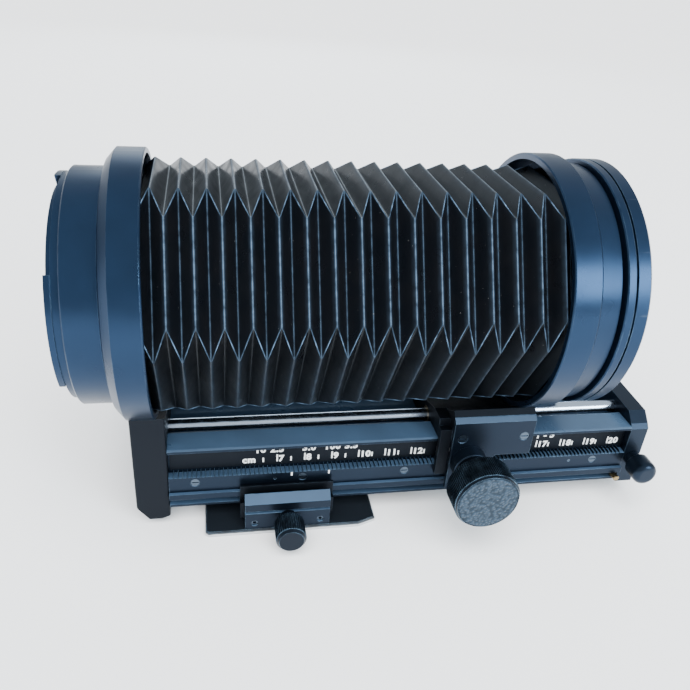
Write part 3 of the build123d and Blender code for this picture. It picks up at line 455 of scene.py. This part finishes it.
# The pleats must close evenly. The tube is cut into lengths at fixed shares of its span,
# each built as a mesh of its own, and the plain bellows part is hidden.
CUTS = (0.012, 0.05, 0.12, 0.25, 0.5, 0.75, 0.88, 0.95, 0.988)
for index, (low, high) in enumerate(zip(CUTS, CUTS[1:])):
    span = (TUBE_END - TUBE_START) / (CUTS[-1] - CUTS[0])
    x_low = TUBE_START + (low - CUTS[0]) * span
    x_high = TUBE_START + (high - CUTS[0]) * span
    piece = bellows_piece(f"bellows_length_{index + 1}", x_low, x_high)
    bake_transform(piece)
    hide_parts("bellows")

# ======================================================================================
# Scale figures
# ======================================================================================

SCALE_Y = -22.1 * MM
FIGURE_LINE, UPPER_LINE = AXIS_Z - 59.9 * MM, AXIS_Z - 55.6 * MM
INK = 0.04 * MM
# the upper row's figures, half hidden by the lip above them
UPPER_FIGURES = ((62, "10"), (67.5, "2.5"), (79, "3.0"), (87, "100"), (94.5, "3.5"), (169, "1 - 5"))
RACK_FACE_Y = -25.2 * MM
RACK_MARKS = (75.1, 88.7)  # white dabs on the rack's face


def figure_mesh(text, size):
    """(points, faces) of a line of bold figures in the XY plane, its start at the origin."""
    curve = bpy.data.curves.new("figure", "FONT")
    curve.body, curve.size, curve.extrude = text, size, INK
    curve.offset, curve.space_character, curve.resolution_u = 0.045 * size, 1.1, 3
    holder = bpy.data.objects.new("figure", curve)
    bpy.context.scene.collection.objects.link(holder)
    bpy.context.view_layer.update()
    mesh = bpy.data.meshes.new_from_object(holder)
    points = [tuple(v.co) for v in mesh.vertices]
    faces = [tuple(p.vertices) for p in mesh.polygons]
    bpy.data.objects.remove(holder)
    bpy.data.meshes.remove(mesh)
    return points, faces


def tick_mesh(width, height):
    """(points, faces) of an upright tick whose foot is centred on the origin."""
    points = [
        (x, y, z) for z in (-INK, INK) for x, y in
        ((-width / 2, 0), (width / 2, 0), (width / 2, height), (-width / 2, height))
    ]
    faces = [(3, 2, 1, 0), (4, 5, 6, 7), (0, 1, 5, 4), (1, 2, 6, 5), (2, 3, 7, 6), (3, 0, 4, 7)]
    return points, faces


def scale_row():
    """The white figures and ticks along the web of the rail."""
    verts, faces = [], []

    def lay(shape, x, z, y=SCALE_Y):
        points, loops = shape
        base = len(verts)
        verts.extend((x + p[0], y - p[2], z + p[1]) for p in points)
        faces.extend(tuple(base + i for i in loop) for loop in loops)

    size = 3.7 * MM
    lay(figure_mesh("cm", size), station(57.6), FIGURE_LINE)
    for centimetre in range(7, 21):
        lay(tick_mesh(0.55 * MM, 3.1 * MM), station(10 * centimetre), FIGURE_LINE)
        lay(figure_mesh(str(centimetre), size), station(10 * centimetre + 0.55), FIGURE_LINE)
    for centimetre in range(6, 20):
        lay(tick_mesh(0.55 * MM, 1.9 * MM), station(10 * centimetre + 5), FIGURE_LINE)
    for reading, factor in UPPER_FIGURES:
        lay(figure_mesh(factor, size), station(reading), UPPER_LINE)
    for reading in RACK_MARKS:
        lay(tick_mesh(0.6 * MM, 1.5 * MM), station(reading), AXIS_Z - 64.3 * MM, RACK_FACE_Y)
    return verts, faces


figures = new_piece("scale_figures", *scale_row(), WHITE, "scale")
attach(figures, "rail")

# ======================================================================================
# Floor, light, camera
# ======================================================================================


def pale_floor():
    """A broad plain sheet that the unit stands on."""
    made = Paint("pale_floor", (0.88, 0.89, 0.9), 0.8, Specular_IOR_Level=0.1)
    made.tint(made.band(made.noise(3, 2), 0.3, 0.7, 0, 0.3), (0.91, 0.91, 0.91))
    mesh = bpy.data.meshes.new("floor")
    half = 6.0
    corner_points = [(-half, -half, 0), (half, -half, 0), (half, half, 0), (-half, half, 0)]
    mesh.from_pydata(corner_points, [], [(0, 1, 2, 3)])
    mesh.materials.append(made.material)
    floor = bpy.data.objects.new("floor", mesh)
    bpy.context.scene.collection.objects.link(floor)
    floor.location.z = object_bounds()[0][2] - 0.0002
    floor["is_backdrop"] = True


def soft_light(name, place, aim, size, power, colour):
    """A square lamp turned toward a point."""
    lamp = bpy.data.lights.new(name, "AREA")
    lamp.shape, lamp.size, lamp.energy, lamp.color = "SQUARE", size, power, colour
    holder = bpy.data.objects.new(name, lamp)
    holder.location = place
    holder.rotation_euler = (Vector(aim) - Vector(place)).to_track_quat("-Z", "Y").to_euler()
    bpy.context.scene.collection.objects.link(holder)


def studio():
    """Pale surroundings, two soft lamps, and an even light on the floor that gives no glint."""
    world = bpy.data.worlds.new("studio")
    world.use_nodes = True
    back = world.node_tree.nodes["Background"]
    back.inputs["Color"].default_value = (0.85, 0.93, 1.0, 1)
    back.inputs["Strength"].default_value = 0.9
    bpy.context.scene.world = world
    middle = (0.03, 0, 0.06)
    soft_light("window", (0.75, -0.9, 0.5), middle, 0.5, 14.0, (0.8, 0.92, 1.0))
    soft_light("behind", (0.1, 1.2, 0.6), middle, 0.7, 3.0, (0.8, 0.92, 1.0))
    room = bpy.data.lights.new("room", "SUN")
    room.energy, room.angle = 8.0, math.radians(70)
    holder = bpy.data.objects.new("room", room)
    holder.rotation_euler = (math.radians(30), math.radians(-6), 0)
    holder.visible_glossy = False
    bpy.context.scene.collection.objects.link(holder)


def camera():
    """The viewpoint: above and to the left, looking down along the rail's length."""
    lens = bpy.data.cameras.new("camera")
    lens.lens, lens.sensor_width, lens.sensor_fit = 36.76, 36.0, "HORIZONTAL"
    lens.clip_start = 0.01
    holder = bpy.data.objects.new("camera", lens)
    bpy.context.scene.collection.objects.link(holder)
    turn = Matrix.Rotation(math.radians(-12.31), 4, "Z")
    tilt = Matrix.Rotation(math.radians(-29.73), 4, "X")
    roll = Matrix.Rotation(math.radians(-4.72), 4, "Y")
    level = Matrix.Rotation(math.radians(90), 4, "X")
    place = Matrix.Translation((station(48.04), -221.08 * MM, AXIS_Z + 104.2 * MM))
    holder.matrix_world = place @ turn @ tilt @ roll @ level
    bpy.context.scene.camera = holder


pale_floor()
studio()
camera()
